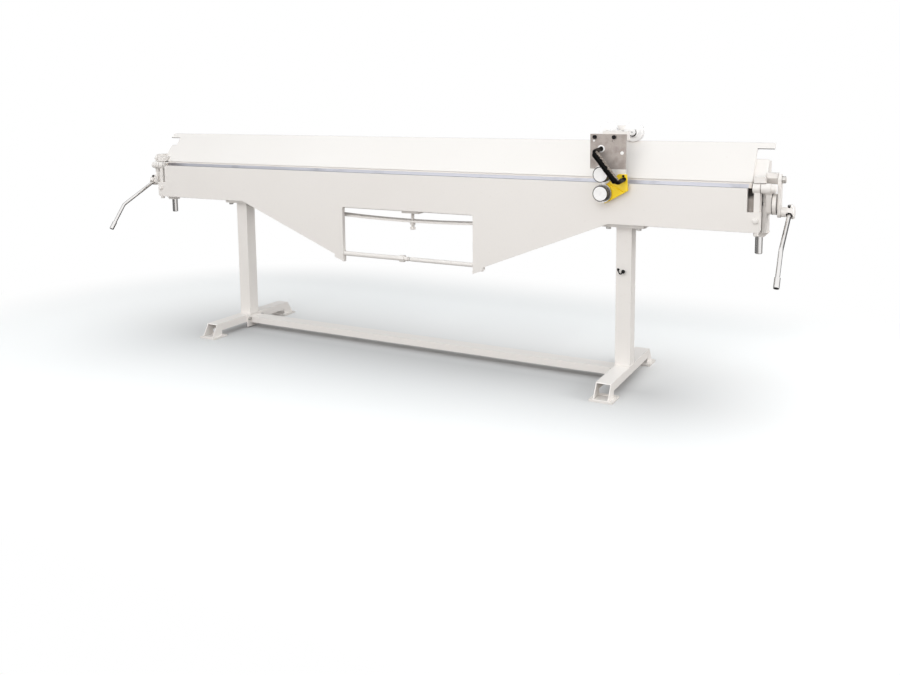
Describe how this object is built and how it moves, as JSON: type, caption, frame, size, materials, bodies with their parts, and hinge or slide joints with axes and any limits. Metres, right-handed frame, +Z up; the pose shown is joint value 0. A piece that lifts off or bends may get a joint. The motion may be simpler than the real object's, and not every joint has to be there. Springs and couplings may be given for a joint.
{
  "type": "manual sheet metal brake",
  "caption": "Long hand-operated folding brake on two posts: cranks lift the clamping beam, a truss-braced apron folds the sheet, and a roller slitter runs along the beam's top edge.",
  "frame": {"origin": "on the floor, at mid length, midway between the overall front and back", "axes": "+X along the bending line to the machine's right as its user faces it, +Y from the apron to the back, +Z up"},
  "size_m": [3.367, 0.6329, 1.0803],
  "materials": {
    "white_enamel": "semi-gloss off-white enamel",
    "ground_steel": "ground bright steel",
    "plain_steel": "bare hot-rolled plate, oiled",
    "zinc_plated_steel": "zinc plated, dull",
    "polished_chrome": "polished",
    "blackened_steel": "black oxide, oiled",
    "black_grip": "fine matte",
    "white_cap": "smooth satin moulding",
    "yellow_enamel": "gloss yellow enamel"
  },
  "bodies": {
    "stand": {"bed_back_plate": "white_enamel", "bed_bottom_plate": "white_enamel", "bed_end_plate_left": "white_enamel", "bed_end_plate_right": "white_enamel", "bed_front_plate": "plain_steel", "bed_jaw": "ground_steel", "bed_ribs": "white_enamel", "brace_bolts": "zinc_plated_steel", "brace_end_plates": "white_enamel", "brace_tube": "white_enamel", "camber_strap": "ground_steel", "crank_bearing_plates": "white_enamel", "flange_bolts": "zinc_plated_steel", "floor_pads": "white_enamel", "foot_left": "white_enamel", "foot_right": "white_enamel", "guide_blocks": "white_enamel", "hinge_pins": "white_enamel", "jack_bolt": "zinc_plated_steel", "jack_plate": "white_enamel", "post_flanges": "white_enamel", "post_left": "white_enamel", "post_right": "white_enamel", "storage_hook": "blackened_steel", "strap_anchors": "white_enamel"},
    "clamp_beam": {"beam_front_plate": "white_enamel", "beam_blade": "ground_steel", "beam_sole": "white_enamel", "beam_back_plate": "white_enamel", "beam_ribs": "white_enamel", "shoulder_brackets": "white_enamel", "guide_rods": "polished_chrome", "trunnions": "white_enamel", "trunnion_nuts": "zinc_plated_steel"},
    "link_left": {"lift_link_left": "white_enamel"},
    "link_right": {"lift_link_right": "white_enamel"},
    "crank_left": {"crank_left": "white_enamel", "lever_hub_left": "white_enamel", "lever_left": "polished_chrome"},
    "crank_right": {"crank_right": "white_enamel", "lever_hub_right": "white_enamel", "lever_right": "polished_chrome"},
    "apron": {"apron_shell": "white_enamel", "apron_edge_bar": "ground_steel", "apron_ribs": "white_enamel", "hinge_arm_left": "white_enamel", "hinge_arm_right": "white_enamel", "arm_bolts": "white_enamel", "truss_lugs": "white_enamel", "truss_tubes": "white_enamel", "truss_stud_and_nuts": "zinc_plated_steel"},
    "slitter_carriage": {"slitter_saddle": "white_enamel"},
    "track_wheel_left": {"track_wheel_left": "white_cap"},
    "track_wheel_right": {"track_wheel_right": "white_cap"},
    "knife_head": {"knife_plate": "zinc_plated_steel", "knife_carrier": "yellow_enamel", "slitter_handle": "black_grip", "slitter_screws": "blackened_steel"},
    "upper_knife": {"upper_knife": "white_cap"},
    "lower_knife": {"lower_knife": "white_cap"}
  },
  "joints": [
    {"name": "beam_lift", "type": "slide", "parent": "stand", "child": "clamp_beam", "axis": [0, 0, 1], "range_m": [0, 0.028]},
    {"name": "link_left_swing", "type": "hinge", "parent": "clamp_beam", "child": "link_left", "pos_m": [-1.6285, -0.012, 0.87], "axis": [-1, 0, 0], "range_deg": [0, 15.8]},
    {"name": "link_right_swing", "type": "hinge", "parent": "clamp_beam", "child": "link_right", "pos_m": [1.6285, -0.012, 0.87], "axis": [-1, 0, 0], "range_deg": [0, 15.8]},
    {"name": "crank_left_turn", "type": "hinge", "parent": "stand", "child": "crank_left", "pos_m": [-1.6, -0.012, 0.776], "axis": [-1, 0, 0], "range_deg": [0, 90.2]},
    {"name": "crank_right_turn", "type": "hinge", "parent": "stand", "child": "crank_right", "pos_m": [1.6, -0.012, 0.776], "axis": [-1, 0, 0], "range_deg": [0, 90.2]},
    {"name": "apron_swing", "type": "hinge", "parent": "stand", "child": "apron", "pos_m": [0, -0.058, 0.838], "axis": [-1, 0, 0], "range_deg": [0, 125]},
    {"name": "slitter_travel", "type": "slide", "parent": "clamp_beam", "child": "slitter_carriage", "axis": [1, 0, 0], "range_m": [-2.4, 0.45]},
    {"name": "track_wheel_left_roll", "type": "hinge", "parent": "slitter_carriage", "child": "track_wheel_left", "pos_m": [0.923, 0.074, 1.0403], "axis": [0, 1, 0], "continuous": true},
    {"name": "track_wheel_right_roll", "type": "hinge", "parent": "slitter_carriage", "child": "track_wheel_right", "pos_m": [1.032, 0.074, 1.0403], "axis": [0, 1, 0], "continuous": true},
    {"name": "knife_head_lift", "type": "slide", "parent": "slitter_carriage", "child": "knife_head", "axis": [0, 0, 1], "range_m": [0, 0.236]},
    {"name": "upper_knife_turn", "type": "hinge", "parent": "knife_head", "child": "upper_knife", "pos_m": [0.96, -0.12, 0.87625], "axis": [0, 1, 0], "continuous": true},
    {"name": "lower_knife_turn", "type": "hinge", "parent": "knife_head", "child": "lower_knife", "pos_m": [0.96, -0.12, 0.79975], "axis": [0, 1, 0], "continuous": true}
  ],
  "couplings": [
    {"joint": "link_left_swing", "follows": "beam_lift", "rad_per_m": 9.66},
    {"joint": "link_right_swing", "follows": "beam_lift", "rad_per_m": 9.66},
    {"joint": "crank_left_turn", "follows": "beam_lift", "rad_per_m": 56.1},
    {"joint": "crank_right_turn", "follows": "beam_lift", "rad_per_m": 56.1},
    {"joint": "track_wheel_left_roll", "follows": "slitter_travel", "rad_per_m": 27.78},
    {"joint": "track_wheel_right_roll", "follows": "slitter_travel", "rad_per_m": 27.78},
    {"joint": "knife_head_lift", "follows": "apron_swing", "m_per_rad": 0.108}
  ]
}
